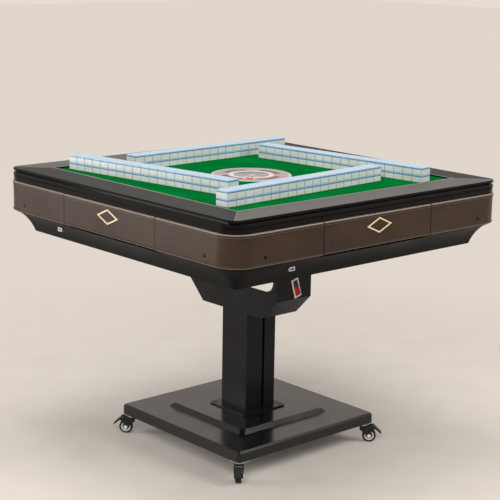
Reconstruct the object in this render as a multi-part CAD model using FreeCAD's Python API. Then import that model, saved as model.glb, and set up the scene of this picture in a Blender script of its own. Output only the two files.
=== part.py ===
"""Automatic mahjong table: square top on one column, with drawers, tile lifts and a rising centre panel.

Millimetres. +Z is up, the origin is on the floor under the column. -Y is the front, -X the left.
One quarter of the table is modelled (front side or front left corner) and turned about Z for the others.
"""
import FreeCAD
import Part
import math
import os
from FreeCAD import Vector

# Plan and heights of the stack, from the floor up
table_width = 960.0
caster_height = 56.0
base_edge_height = 28.5
plateau_height = 11.5
foot_plate_thickness = 4.0
column_height = 282.0
yoke_height = 197.0
shell_height = 61.0
skirt_height = 80.0
felt_drop = 4.0

# Base: stamped sheet cover over a flat plate
base_width = 500.0
base_corner_radius = 9.0
base_edge_chamfer = 5.0
base_sheet = 2.0
base_plate_thickness = 4.0
base_plate_gap = 0.5
plateau_width = 320.0
plateau_slope = 11.0
plateau_corner_radius = 12.0
foot_plate_width = 152.0
foot_plate_corner = 6.0
spacer_diameter = 24.0
foot_bolt_inset = 12.0
bolt_diameter = 8.0
bolt_head_height = 5.3
bolt_head_across = 13.0
sunk_head_diameter = 15.0
hole_clearance = 0.25

# Column: welded post inside two folded covers
post_width = 90.0
post_wall = 4.0
column_width = 104.0
cover_sheet = 2.0
cover_step = 1.5
groove_width = 7.0
groove_offset = 9.5

# Yoke: folded box that carries the top on two uprights
yoke_width = 126.0
yoke_length = 356.0
yoke_chamfer = 55.0
yoke_upright = 14.0
yoke_trough = 77.0
yoke_notch_radius = 30.0
yoke_sheet = 4.0
yoke_back_edge = 24.0
yoke_foot_reach = 40.0
yoke_foot_thickness = 6.0
yoke_bolt_spacing = 70.0
yoke_bolt_inset = 18.0

# Power switch on the front upright and mains inlet on the back one
switch_height = 86.0
switch_offset = 8.0
switch_tilt = 16.0
bezel_width = 25.0
bezel_length = 54.0
bezel_thickness = 2.5
bezel_rim = 2.2
switch_body_width = 21.0
switch_body_length = 48.0
switch_body_depth = 16.0
switch_wall = 2.0
rocker_gap = 0.4
rocker_end_gap = 2.0
rocker_rise = 3.0
rocker_dip = 1.0
rocker_depth = 5.0
rocker_swing = 7.0
rocker_pin_diameter = 3.0
rocker_pin_length = 1.2
pin_clearance = 0.1
inlet_width = 50.0
inlet_flange_height = 24.0
inlet_flange = 2.5
inlet_body_width = 30.0
inlet_body_height = 20.0
inlet_depth = 20.0
inlet_wall = 2.0
inlet_pin_length = 9.0
inlet_pin_pitch = 7.0
panel_clearance = 0.3

# Lower shell: coved tub under the skirt
shell_inset = 4.0
shell_taper = 52.0
shell_corner_radius = 16.0
shell_sheet = 3.5
shell_floor = 3.0
cove_depth = 7.0
shell_rim_width = 14.0
shell_rim_thickness = 3.0
finger_slot_height = 9.0
finger_slot_margin = 7.0
cable_hole_diameter = 60.0
port_corner_inset = 146.0
port_height = 31.0
port_width = 18.0
port_thickness = 10.0
port_depth = 26.0
port_stand_out = 4.0
socket_width = 13.0
socket_height = 5.4
socket_depth = 14.0

# Skirt: four corner panels and four drawer fronts
skirt_corner_radius = 64.0
skirt_sheet = 4.0
skirt_bead = 8.0
skirt_bead_radius = 3.0
skirt_groove = 2.0
skirt_groove_depth = 2.5
skirt_face_inset = 1.5
skirt_lip = 1.5
skirt_lip_height = 4.0
skirt_top_flange = 24.0
skirt_bottom_flange = 14.0
skirt_flange_sheet = 3.0
skirt_screw_in_post = 9.0
skirt_screw_height = 20.0
screw_head_diameter = 9.4
screw_head_height = 1.0
screw_shank_diameter = 4.0
screw_length = 16.0

# Drawers
drawer_width = 384.0
drawer_seam = 0.8
drawer_bottom_gap = 0.5
drawer_flange_gap = 0.5
tray_side_margin = 22.0
tray_depth = 130.0
tray_height = 54.0
tray_lift = 12.0
tray_wall = 2.5
runner_gap = 0.3
runner_side_gap = 0.5
runner_sheet = 3.0
runner_ledge = 12.0
runner_height = 40.0
runner_front_margin = 14.0
runner_leg = 48.0

# Chassis: plate on the shell floor with four corner posts
chassis_inset = 22.0
chassis_thickness = 4.0
chassis_hole_diameter = 70.0
corner_post_width = 30.0
corner_post_wall = 3.0
corner_post_margin = 4.0
skirt_bracket_height = 20.0

# Top frame: stepped rails, mitred at the corners
frame_width = 98.0
frame_ledge = 16.0
frame_ledge_height = 18.0
frame_foot_height = 2.0
frame_foot_inset = 14.0
frame_foot_radius = 46.0
frame_band_height = 11.0
frame_band_inset = 6.0
frame_band_radius = 50.0
frame_groove_height = 2.0
frame_groove_inset = 10.5
frame_groove_radius = 45.0
frame_shoulder_height = 9.0
frame_shoulder_inset = 5.0
frame_shoulder_radius = 51.0
frame_shoulder_chamfer = 2.5
frame_shadow_height = 4.0
frame_shadow_inset = 18.0
frame_shadow_radius = 22.0
frame_cap_height = 6.0
frame_cap_inset = 12.0
frame_cap_radius = 26.0
frame_cap_chamfer = 1.2
board_gap = 0.3
felt_thickness = 1.0

# Tiles and lifts
tile_length = 40.0
tile_width = 30.0
tile_thickness = 20.0
tile_gap = 0.3
tile_corner = 1.6
tile_layers = 2
front_wall_margin = 60.5
right_wall_margin = 66.0
back_wall_margin = 86.0
left_wall_margin = 37.0
front_wall_slant = 4.2
right_wall_slant = 6.6
back_wall_slant = 2.0
left_wall_slant = 8.3
wall_corner_gap = 60.0
lift_edge_margin = 60.0
lift_end_margin = 21.0
lift_gap = 1.0
lift_plate = 6.0
lift_travel = 50.0
guide_diameter = 10.0
guide_inset = 118.0
guide_flange_diameter = 30.0
guide_flange = 4.0
sleeve_wall = 4.0
sleeve_clearance = 0.3
sleeve_overlap = 40.0
guide_top_gap = 4.0

# Centre panel
panel_diameter = 220.0
panel_gap = 1.0
panel_thickness = 35.0
panel_chamfer = 1.5
panel_lift = 45.0
panel_sleeve_wall = 7.0
panel_roof = 3.0
lens_diameter = 96.0
lens_depth = 18.0
lens_rise = 3.0
lens_sheet = 1.8
lens_gap = 0.3
button_offset = 51.0
button_diameter = 18.0
button_height = 10.0
button_rise = 2.0
button_gap = 0.3
button_travel = 1.5

# Shuffling drum under the centre panel
motor_width = 100.0
motor_height = 28.0
motor_chamfer = 8.0
boss_diameter = 40.0
boss_height = 10.0
centre_post_diameter = 24.0
centre_post_engagement = 8.0
drum_diameter = 436.0
drum_wall = 3.0
drum_depth = 80.0
drum_leg_diameter = 16.0
drum_leg_radius = 190.0
drum_window_width = 90.0
drum_window_height = 45.0
floor_gap = 3.0
disc_gap = 10.0
disc_thickness = 5.0
disc_hub_diameter = 80.0
disc_hub_height = 9.0
disc_hub_top_diameter = 44.0
disc_seat_gap = 0.3
rib_thickness = 6.0
rib_height = 10.0
rib_inner_radius = 60.0
rib_outer_margin = 10.0
rib_count = 4

# Control box with the transformer and the circuit board
box_length = 110.0
box_depth = 56.0
box_height = 44.0
box_margin = 10.0
box_fin = 3.0
box_fin_count = 8

# Casters
swivel_inset = 20.0
caster_trail = 18.0
wheel_diameter = 38.0
wheel_width = 16.0
wheel_edge = 2.0
wheel_hub_diameter = 14.0
wheel_hub_width = 19.0
wheel_web_width = 9.0
wheel_rim_diameter = 26.0
axle_diameter = 6.0
axle_head_diameter = 10.0
axle_head = 1.5
axle_clearance = 0.1
fork_gap = 2.0
fork_sheet = 2.5
fork_nose = 9.0
fork_foot_radius = 6.0
cap_plate_width = 36.0
cap_plate_thickness = 3.0
cap_diameter = 26.0
cap_height = 5.0
swivel_gap = 0.3
stem_diameter = 8.0
stem_length = 4.6
pedal_pivot_out = 28.0
pedal_pivot_drop = 14.0
pedal_boss_diameter = 9.0
pedal_pin_diameter = 4.8
pedal_reach = 24.0
pedal_drop = 18.0
pedal_sheet = 3.0
pedal_side_gap = 1.0

# Worked out levels
base_z = caster_height
base_top_z = base_z + base_edge_height
plateau_z = base_top_z + plateau_height
foot_z = plateau_z + foot_plate_thickness
yoke_z = foot_z + column_height
shell_z = yoke_z + yoke_height
chassis_z = shell_z + shell_floor
chassis_top_z = chassis_z + chassis_thickness
skirt_z = shell_z + shell_height
frame_z = skirt_z + skirt_height
ledge_z = frame_z + frame_ledge_height
frame_top_z = (frame_z + frame_foot_height + frame_band_height + frame_groove_height
               + frame_shoulder_height + frame_shadow_height + frame_cap_height)
felt_z = frame_top_z - felt_drop
board_top_z = felt_z - felt_thickness
lift_bottom_z = felt_z - lift_plate
guide_top_z = lift_bottom_z - lift_travel - guide_top_gap
panel_bottom_z = felt_z - panel_thickness
motor_top_z = chassis_top_z + motor_height
boss_top_z = motor_top_z + boss_height
disc_z = boss_top_z + disc_seat_gap
drum_floor_z = motor_top_z + floor_gap

# Worked out plan sizes
half = table_width / 2
base_half = base_width / 2
board_half = half - frame_width
ledge_half = board_half - frame_ledge
lift_outer = board_half - lift_edge_margin
lift_inner = lift_outer - tile_length
tile_pitch = tile_width + tile_gap
lift_start = -(board_half - lift_end_margin)
wall_margins = (front_wall_margin, right_wall_margin, back_wall_margin, left_wall_margin)
wall_slants = (front_wall_slant, right_wall_slant, back_wall_slant, left_wall_slant)
tile_stacks = int((lift_inner - wall_corner_gap - lift_start) / tile_pitch)
lift_end = lift_start + tile_stacks * tile_pitch - tile_gap
guide_places = (lift_start + guide_inset, lift_end - guide_inset)
guide_line = (lift_outer + lift_inner) / 2
seam = drawer_width / 2
skirt_face = half - skirt_face_inset
screw_seat = (skirt_sheet - skirt_face_inset) / 2
shell_top_half = half - shell_inset
shell_bottom_half = shell_top_half - shell_taper
shell_centre = shell_bottom_half - shell_corner_radius
port_offset = shell_centre - port_corner_inset
corner_post_inner = ledge_half + corner_post_margin
corner_post_outer = corner_post_inner + corner_post_width
skirt_screw_offset = corner_post_inner + skirt_screw_in_post
foot_bolt_place = foot_plate_width / 2 - foot_bolt_inset
swivel_place = base_half - swivel_inset
upright_outer = yoke_length / 2
upright_inner = upright_outer - yoke_upright
yoke_bolt_line = upright_inner - yoke_bolt_inset
centre_post_radius = centre_post_diameter / 2
post_bore_radius = centre_post_radius + sleeve_clearance

SIDES = ("front", "right", "back", "left")
CORNERS = ("front_left", "front_right", "back_right", "back_left")


def turned(shape, quarter):
    """A copy turned about the table's axis by quarter turns, counter-clockwise from above."""
    copy = shape.copy()
    copy.rotate(Vector(0, 0, 0), Vector(0, 0, 1), 90 * quarter)
    return copy


def all_round(shape):
    return [turned(shape, quarter) for quarter in range(4)]


def joined(shapes):
    whole = shapes[0].fuse(shapes[1:])
    return whole.removeSplitter()


def box(x0, x1, y0, y1, z0, z1):
    return Part.makeBox(x1 - x0, y1 - y0, z1 - z0, Vector(x0, y0, z0))


def cylinder(radius, z0, z1, x=0.0, y=0.0):
    return Part.makeCylinder(radius, z1 - z0, Vector(x, y, z0))


def rounded_square_wire(size, radius, z):
    """A square of half width size, with rounded corners, lying at height z."""
    flat = size - radius
    bulge = flat + radius * math.sqrt(0.5)
    steps = [(-flat, -size), (flat, -size), (bulge, -bulge, size, -flat), (size, flat),
             (bulge, bulge, flat, size), (-flat, size), (-bulge, bulge, -size, flat), (-size, -flat),
             (-bulge, -bulge, -flat, -size)]
    return wire_of(steps, lambda x, y: Vector(x, y, z), False)


def wire_of(steps, place, close=True):
    """A wire through points (a, b), with (through_a, through_b, a, b) for a stretch that is an arc."""
    edges = []
    here = place(*steps[0])
    rest = steps[1:] + steps[:1] if close else steps[1:]
    for step in rest:
        there = place(*step[-2:])
        if len(step) == 4:
            edges.append(Part.Arc(here, place(*step[:2]), there).toShape())
        else:
            edges.append(Part.makeLine(here, there))
        here = there
    return Part.Wire(edges)


def face_of(steps, place):
    return Part.Face(wire_of(steps, place))


def prism(size, radius, z0, z1):
    return Part.Face(rounded_square_wire(size, radius, z0)).extrude(Vector(0, 0, z1 - z0))


def chamfered_top(solid, size):
    top = solid.BoundBox.ZMax
    edges = [edge for edge in solid.Edges if edge.BoundBox.ZMin > top - 1e-6]
    return solid.makeChamfer(size, edges)


def front_section(x):
    """Places a section on the front side: distance out from the axis, and height."""
    return lambda out, z: Vector(x, -out, z)


def left_section(y):
    return lambda out, z: Vector(-out, y, z)


def quarter_turn(steps, centre):
    section = face_of(steps, front_section(-centre))
    return section.revolve(Vector(-centre, -centre, 0), Vector(0, 0, 1), -90)


def corner_panel(steps, centre, end):
    """A section swept from the front seam round the front left corner to the left seam."""
    front_run = face_of(steps, front_section(-centre)).extrude(Vector(centre - end, 0, 0))
    left_run = face_of(steps, left_section(-centre)).extrude(Vector(0, centre - end, 0))
    return joined([quarter_turn(steps, centre), front_run, left_run])


def hexagon(across, z0, z1, x, y):
    radius = across / math.sqrt(3)
    points = [(x + radius * math.cos(math.radians(60 * n)), y + radius * math.sin(math.radians(60 * n)))
              for n in range(6)]
    return face_of(points, lambda a, b: Vector(a, b, z0)).extrude(Vector(0, 0, z1 - z0))


def foot_bolt_holes(z0, z1):
    hole = cylinder(bolt_diameter / 2 + hole_clearance, z0, z1, -foot_bolt_place, -foot_bolt_place)
    return all_round(hole)


def sunk_head(clearance):
    """Flat bolt head let into the foot plate, or with a clearance the countersink for it."""
    large = sunk_head_diameter / 2
    small = bolt_diameter / 2
    return Part.makeCone(small + clearance, large + clearance, large - small,
                         Vector(-foot_bolt_place, -foot_bolt_place, foot_z - large + small))


def yoke_bolt_places():
    across = yoke_bolt_spacing / 2
    return [(x, y) for y in (-yoke_bolt_line, yoke_bolt_line) for x in (-across, across)]


def yoke_bolt_holes(z0, z1):
    return [cylinder(bolt_diameter / 2 + hole_clearance, z0, z1, x, y) for x, y in yoke_bolt_places()]


def base_form(size, radius, z0, top_z, slope_size, chamfer):
    """Outside or inside form of the cover: chamfered edge with the raised plateau on it."""
    edge = chamfered_top(prism(size, radius, z0, top_z), chamfer)
    low = rounded_square_wire(slope_size, plateau_corner_radius, top_z)
    high = rounded_square_wire(slope_size - plateau_slope, plateau_corner_radius, top_z + plateau_height)
    return edge.fuse(Part.makeLoft([low, high], True, True))


def make_base_cover():
    outside = base_form(base_half, base_corner_radius, base_z, base_top_z, plateau_width / 2,
                        base_edge_chamfer)
    inside = base_form(base_half - base_sheet, base_corner_radius - base_sheet, base_z,
                       base_top_z - base_sheet, plateau_width / 2 - base_sheet, base_edge_chamfer)
    return outside.cut([inside] + foot_bolt_holes(base_z, foot_z))


def make_base_plate():
    size = base_half - base_sheet - base_plate_gap
    plate = prism(size, base_corner_radius - base_sheet, base_z, base_z + base_plate_thickness)
    spacer = cylinder(spacer_diameter / 2, base_z + base_plate_thickness, plateau_z - base_sheet,
                      -foot_bolt_place, -foot_bolt_place)
    return joined([plate] + all_round(spacer)).cut(foot_bolt_holes(base_z, plateau_z))


def make_column_post():
    size = foot_plate_width / 2
    cut = foot_plate_corner
    outline = [(-size + cut, -size), (size - cut, -size), (size, -size + cut), (size, size - cut),
               (size - cut, size), (-size + cut, size), (-size, size - cut), (-size, -size + cut)]
    plate = face_of(outline, lambda x, y: Vector(x, y, plateau_z)).extrude(Vector(0, 0, foot_plate_thickness))
    outer = post_width / 2
    inner = outer - post_wall
    tube = box(-outer, outer, -outer, outer, foot_z, yoke_z)
    tube = tube.cut(box(-inner, inner, -inner, inner, foot_z, yoke_z))
    holes = foot_bolt_holes(plateau_z, foot_z) + all_round(sunk_head(hole_clearance))
    return joined([plate, tube]).cut(holes)


def column_cover(x0, x1, depth):
    """A folded channel, open towards the groove that runs down the front and the back."""
    outer = box(min(x0, x1), max(x0, x1), -depth, depth, foot_z, yoke_z)
    wall = cover_sheet if x0 < x1 else -cover_sheet
    inner_depth = depth - cover_sheet
    inner = box(min(x0 + wall, x1), max(x0 + wall, x1), -inner_depth, inner_depth, foot_z, yoke_z)
    return outer.cut(inner)


def make_column_covers():
    outer = column_width / 2
    left = column_cover(-outer, groove_offset - groove_width / 2, outer - cover_step)
    right = column_cover(outer, groove_offset + groove_width / 2, outer)
    return Part.makeCompound([left, right])


def yoke_outline(inset):
    """Side view of the yoke; a positive inset gives the hollow inside the sheet."""
    low = yoke_z + inset
    out = upright_outer - inset
    bend = yoke_chamfer - inset * (2 - math.sqrt(2))
    floor = yoke_z + yoke_trough - inset
    inner = upright_inner + inset
    radius = yoke_notch_radius + inset
    bend_out = inner - radius + radius * math.sqrt(0.5)
    bend_z = floor + radius - radius * math.sqrt(0.5)
    top = shell_z - (yoke_foot_thickness if inset else 0)
    right = [(out - bend, low), (out, low + bend), (out, top), (inner, top), (inner, floor + radius),
             (bend_out, bend_z, inner - radius, floor)]
    left = [(-inner + radius, floor), (-bend_out, bend_z, -inner, floor + radius), (-inner, top),
            (-out, top), (-out, low + bend), (-out + bend, low)]
    return right + left


def switch_placed(shape):
    """From the switch's own frame, with its front facing +Z and its length along Y, to the front upright."""
    shape.rotate(Vector(0, 0, 0), Vector(0, 0, 1), switch_tilt)
    shape.rotate(Vector(0, 0, 0), Vector(1, 0, 0), 90)
    shape.translate(Vector(switch_offset, -upright_outer, yoke_z + switch_height))
    return shape


def inlet_placed(shape):
    shape.rotate(Vector(0, 0, 0), Vector(1, 0, 0), -90)
    shape.translate(Vector(0, upright_outer, yoke_z + switch_height))
    return shape


def centred_box(width, length, z0, z1):
    return box(-width / 2, width / 2, -length / 2, length / 2, z0, z1)


def make_yoke():
    outer_x = yoke_width / 2
    inner_x = outer_x - yoke_sheet
    solid = face_of(yoke_outline(0), lambda y, z: Vector(-outer_x, y, z)).extrude(Vector(yoke_width, 0, 0))
    hollow = face_of(yoke_outline(yoke_sheet), lambda y, z: Vector(-inner_x, y, z))
    solid = solid.cut(hollow.extrude(Vector(2 * inner_x, 0, 0)))
    low = shell_z - yoke_foot_thickness
    feet = [box(-outer_x, outer_x, upright_inner - yoke_foot_reach, upright_inner, low, shell_z),
            box(-outer_x, outer_x, -upright_inner, -upright_inner + yoke_foot_reach, low, shell_z)]
    open_half = upright_inner - yoke_notch_radius
    open_back = box(-inner_x, outer_x, -open_half, open_half, yoke_z + yoke_back_edge, yoke_z + yoke_trough)
    slack = 2 * panel_clearance
    switch_hole = centred_box(switch_body_width + slack, switch_body_length + slack,
                              -switch_body_depth - panel_clearance, 0)
    inlet_hole = centred_box(inlet_body_width + slack, inlet_body_height + slack,
                             -inlet_depth - panel_clearance, 0)
    cuts = [open_back, switch_placed(switch_hole), inlet_placed(inlet_hole)] + yoke_bolt_holes(low, shell_z)
    return joined([solid] + feet).cut(cuts)


def make_frame_bolts():
    nut = bolt_head_height
    place = -foot_bolt_place
    bolts = all_round(bolt(place, place, base_z - nut, base_z, foot_z, sunk_head(0)))
    low = shell_z - yoke_foot_thickness
    for x, y in yoke_bolt_places():
        head = hexagon(bolt_head_across, chassis_top_z, chassis_top_z + nut, x, y)
        bolts.append(bolt(x, y, low - nut, low, chassis_top_z, head))
    return Part.makeCompound(bolts)


def bolt(x, y, nut_z0, nut_z1, end_z, head):
    shank = cylinder(bolt_diameter / 2, nut_z0, end_z, x, y)
    nut = hexagon(bolt_head_across, nut_z0, nut_z1, x, y)
    return joined([shank, nut, head])


def rocker_width():
    return switch_body_width - 2 * switch_wall - 2 * rocker_gap


def rocker_pin(radius, length):
    pin = Part.makeCylinder(radius, length, Vector(-length / 2, 0, -rocker_depth / 2), Vector(1, 0, 0))
    return pin


def make_switch_bezel():
    rim = chamfered_top(centred_box(bezel_width, bezel_length, 0, bezel_thickness), bezel_rim / 2)
    body = centred_box(switch_body_width, switch_body_length, -switch_body_depth, 0)
    well = centred_box(switch_body_width - 2 * switch_wall, switch_body_length - 2 * switch_wall,
                       -switch_body_depth + switch_wall, bezel_thickness)
    pin_hole = rocker_pin(rocker_pin_diameter / 2 + pin_clearance,
                          rocker_width() + 2 * rocker_gap + 2 * rocker_pin_length)
    return switch_placed(joined([rim, body]).cut([well, pin_hole]))


def make_switch_rocker():
    """V shaped rocker, resting with its upper half pressed in."""
    reach = switch_body_length / 2 - switch_wall - rocker_end_gap
    width = rocker_width()
    low = rocker_rise - rocker_depth
    outline = [(-reach, rocker_rise), (0, rocker_dip), (reach, rocker_rise), (reach, low),
               (0, -2 * rocker_depth), (-reach, low)]
    key = face_of(outline, lambda y, z: Vector(-width / 2, y, z)).extrude(Vector(width, 0, 0))
    pins = rocker_pin(rocker_pin_diameter / 2, width + 2 * rocker_gap + 2 * rocker_pin_length - pin_clearance)
    rocker = joined([key, pins])
    rocker.rotate(Vector(0, 0, -rocker_depth / 2), Vector(1, 0, 0), -rocker_swing)
    return switch_placed(rocker)


def make_mains_inlet():
    flange = chamfered_top(centred_box(inlet_width, inlet_flange_height, 0, inlet_flange), inlet_flange / 2)
    body = centred_box(inlet_body_width, inlet_body_height, -inlet_depth, 0)
    floor = -inlet_depth + inlet_wall
    well = centred_box(inlet_body_width - 3 * inlet_wall, inlet_body_height - 2 * inlet_wall, floor,
                       inlet_flange)
    pins = []
    for x, y in ((-inlet_pin_pitch, -inlet_wall), (0, inlet_wall), (inlet_pin_pitch, -inlet_wall)):
        pin = centred_box(inlet_wall, 2 * inlet_wall, floor, floor + inlet_pin_length)
        pin.translate(Vector(x, y, 0))
        pins.append(pin)
    return inlet_placed(joined([joined([flange, body]).cut(well)] + pins))


def cove_steps():
    """Section of the shell wall: a hollow curve from the floor out to the rim."""
    run = shell_top_half - shell_bottom_half
    slant = math.hypot(run, shell_height)
    middle_out = (shell_top_half + shell_bottom_half) / 2 - cove_depth * shell_height / slant
    middle_z = shell_z + shell_height / 2 + cove_depth * run / slant
    return [(shell_bottom_half, shell_z), (middle_out, middle_z, shell_top_half, skirt_z),
            (shell_top_half - shell_sheet, skirt_z),
            (middle_out - shell_sheet, middle_z, shell_bottom_half - shell_sheet, shell_z)]


def cove_out(z):
    """How far out the shell's outer face stands at height z."""
    face = face_of(cove_steps(), front_section(0))
    line = Part.makeLine(Vector(0, 0, z), Vector(0, -table_width, z))
    return -line.common(face).BoundBox.YMin


def port_box(slack, inner, outer):
    low = shell_z + port_height - port_thickness / 2
    return box(-port_offset - port_width / 2 - slack, -port_offset + port_width / 2 + slack, -outer, -inner,
               low - slack, low + port_thickness + slack)


def make_lower_shell():
    steps = cove_steps()
    side = face_of(steps, front_section(-shell_centre)).extrude(Vector(2 * shell_centre, 0, 0))
    floor = prism(shell_bottom_half, shell_corner_radius, shell_z, shell_z + shell_floor)
    rim_radius = shell_top_half - shell_centre
    low = skirt_z - shell_rim_thickness
    rim = prism(shell_top_half - shell_sheet / 2, rim_radius - shell_sheet / 2, low, skirt_z)
    rim = rim.cut(prism(shell_top_half - shell_rim_width, rim_radius - shell_rim_width, low, skirt_z))
    shell = joined([floor, rim] + all_round(side) + all_round(quarter_turn(steps, shell_centre)))
    reach = seam - finger_slot_margin
    slot = box(-reach, reach, -half, -shell_top_half + shell_rim_width + shell_sheet,
               skirt_z - finger_slot_height, skirt_z)
    cuts = all_round(slot) + all_round(port_box(panel_clearance, shell_centre, half))
    cuts += yoke_bolt_holes(shell_z, chassis_z)
    cuts.append(cylinder(cable_hole_diameter / 2, shell_z, chassis_z))
    return shell.cut(cuts)


def make_charging_ports():
    face = cove_out(shell_z + port_height) + port_stand_out
    body = port_box(0, face - port_depth, face)
    middle = shell_z + port_height
    socket = box(-port_offset - socket_width / 2, -port_offset + socket_width / 2, -face,
                 -face + socket_depth, middle - socket_height / 2, middle + socket_height / 2)
    return Part.makeCompound(all_round(body.cut(socket)))


def skirt_face_steps():
    """Outer face of the skirt from its lower lip up to the rounded bead along the top."""
    lip_top = skirt_z + skirt_lip_height
    groove_top = frame_z - skirt_bead
    groove_low = groove_top - skirt_groove
    groove_face = half - skirt_groove_depth
    corner = half - skirt_bead_radius
    middle = skirt_bead_radius * math.sqrt(0.5)
    return [(half - skirt_lip, skirt_z), (half, skirt_z + skirt_lip), (half, lip_top),
            (skirt_face, lip_top + skirt_face_inset), (skirt_face, groove_low), (groove_face, groove_low),
            (groove_face, groove_top), (half, groove_top), (half, frame_z - skirt_bead_radius),
            (corner + middle, frame_z - skirt_bead_radius + middle, corner, frame_z)]


def skirt_screw_tools(head_radius, shank_radius, head_z0, head_z1, length):
    """Two screws of the front side, or their holes, pointing inwards."""
    solids = []
    for x in (-skirt_screw_offset, skirt_screw_offset):
        inward = Vector(0, 1, 0)
        start = Vector(x, -skirt_face, skirt_z + skirt_screw_height)
        head = Part.makeCylinder(head_radius, head_z1 - head_z0, start + inward * head_z0, inward)
        shank = Part.makeCylinder(shank_radius, length, start + inward * head_z1, inward)
        solids.append(joined([head, shank]))
    return solids


def skirt_screw_holes():
    return skirt_screw_tools(screw_head_diameter / 2 + hole_clearance,
                             screw_shank_diameter / 2 + hole_clearance, 0, screw_seat,
                             screw_length + hole_clearance)


def make_skirt_screws():
    pair = skirt_screw_tools(screw_head_diameter / 2, screw_shank_diameter / 2,
                             screw_seat - screw_head_height, screw_seat, screw_length)
    return Part.makeCompound([turned(screw, quarter) for quarter in range(4) for screw in pair])


def make_skirt_corner():
    inner = half - skirt_sheet
    top_edge = inner - skirt_top_flange
    low_edge = inner - skirt_bottom_flange
    under = frame_z - skirt_flange_sheet
    over = skirt_z + skirt_flange_sheet
    steps = skirt_face_steps() + [(top_edge, frame_z), (top_edge, under), (inner, under), (inner, over),
                                  (low_edge, over), (low_edge, skirt_z)]
    panel = corner_panel(steps, half - skirt_corner_radius, seam + drawer_seam / 2)
    left_hole, right_hole = skirt_screw_holes()
    return panel.cut([left_hole, turned(right_hole, 3)])


def make_drawer_front():
    inner = half - skirt_sheet
    low = skirt_z + drawer_bottom_gap
    under = frame_z - skirt_flange_sheet
    flange = half - frame_foot_inset + drawer_flange_gap
    steps = skirt_face_steps() + [(flange, frame_z), (flange, under), (inner, under), (inner, low)]
    steps[0] = (half - skirt_lip, low)
    reach = seam - drawer_seam / 2
    return face_of(steps, front_section(-reach)).extrude(Vector(2 * reach, 0, 0))


def tray_half():
    return seam - tray_side_margin


def make_drawer_tray():
    reach = tray_half()
    front = -half + skirt_sheet
    low = skirt_z + tray_lift
    outer = box(-reach, reach, front, front + tray_depth, low, low + tray_height)
    inner = box(-reach + tray_wall, reach - tray_wall, front + tray_wall, front + tray_depth - tray_wall,
                low + tray_wall, low + tray_height)
    return outer.cut(inner)


def drawer_runner(side):
    """Angle that carries one side of a drawer, on a leg that stands on the chassis plate."""
    web = tray_half() + runner_side_gap
    ledge_top = skirt_z + tray_lift - runner_gap
    front = -half + skirt_sheet + runner_front_margin
    back = -half + skirt_sheet + tray_depth
    web_box = box(web, web + runner_sheet, front, back, ledge_top - runner_sheet, ledge_top + runner_height)
    ledge_box = box(web - runner_ledge, web, front, back, ledge_top - runner_sheet, ledge_top)
    leg = box(web, web + runner_sheet, back - runner_leg, back, chassis_top_z, ledge_top - runner_sheet)
    runner = joined([web_box, ledge_box, leg])
    return runner if side > 0 else runner.mirror(Vector(0, 0, 0), Vector(1, 0, 0))


def make_chassis():
    size = shell_bottom_half - chassis_inset
    plate = box(-size, size, -size, size, chassis_z, chassis_top_z)
    outer = corner_post_outer
    inner = corner_post_inner
    post = box(-outer, -inner, -outer, -inner, chassis_top_z, frame_z)
    wall = corner_post_wall
    post = post.cut(box(-outer + wall, -inner - wall, -outer + wall, -inner - wall, chassis_top_z, frame_z))
    screw_z = skirt_z + skirt_screw_height
    bracket = box(-outer, -inner, -half + skirt_sheet, -outer, screw_z - skirt_bracket_height / 2,
                  screw_z + skirt_bracket_height / 2)
    brackets = all_round(bracket) + all_round(bracket.mirror(Vector(0, 0, 0), Vector(1, 0, 0)))
    runners = [turned(drawer_runner(side), quarter) for quarter in range(4) for side in (-1, 1)]
    holes = yoke_bolt_holes(chassis_z, chassis_top_z)
    holes.append(cylinder(chassis_hole_diameter / 2, chassis_z, chassis_top_z))
    for quarter in range(4):
        holes += [turned(hole, quarter) for hole in skirt_screw_holes()]
    return joined([plate] + all_round(post) + brackets + runners).cut(holes)


def make_frame():
    """The four rails: stepped rings, cut at the mitres."""
    steps = [(frame_foot_height, frame_foot_inset, frame_foot_radius, 0),
             (frame_band_height, frame_band_inset, frame_band_radius, 0),
             (frame_groove_height, frame_groove_inset, frame_groove_radius, 0),
             (frame_shoulder_height, frame_shoulder_inset, frame_shoulder_radius, frame_shoulder_chamfer),
             (frame_shadow_height, frame_shadow_inset, frame_shadow_radius, 0),
             (frame_cap_height, frame_cap_inset, frame_cap_radius, frame_cap_chamfer)]
    rings = []
    z = frame_z
    for height, inset, radius, chamfer in steps:
        ring = prism(half - inset, radius, z, z + height)
        rings.append(chamfered_top(ring, chamfer) if chamfer else ring)
        z += height
    frame = joined(rings).cut([box(-ledge_half, ledge_half, -ledge_half, ledge_half, frame_z, ledge_z),
                               box(-board_half, board_half, -board_half, board_half, ledge_z, frame_top_z)])
    wedge = face_of([(0, 0), (-half, -half), (half, -half)], lambda x, y: Vector(x, y, frame_z))
    wedge = wedge.extrude(Vector(0, 0, frame_top_z - frame_z))
    return [frame.common(turned(wedge, quarter)) for quarter in range(4)]


def lift_slot(z0, z1):
    return box(lift_start - lift_gap, lift_end + lift_gap, -lift_outer - lift_gap, -lift_inner + lift_gap,
               z0, z1)


def board_layer(z0, z1):
    size = board_half - board_gap
    layer = box(-size, size, -size, size, z0, z1)
    hole = cylinder(panel_diameter / 2 + panel_gap, z0, z1)
    return layer.cut(all_round(lift_slot(z0, z1)) + [hole])


def make_lift_platform():
    plate = box(lift_start, lift_end, -lift_outer, -lift_inner, lift_bottom_z, felt_z)
    bore = guide_diameter / 2 + sleeve_clearance
    low = guide_top_z - sleeve_overlap
    sleeves = [cylinder(bore + sleeve_wall, low, lift_bottom_z, x, -guide_line) for x in guide_places]
    bores = [cylinder(bore, low, lift_bottom_z, x, -guide_line) for x in guide_places]
    return joined([plate] + sleeves).cut(bores)


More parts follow.
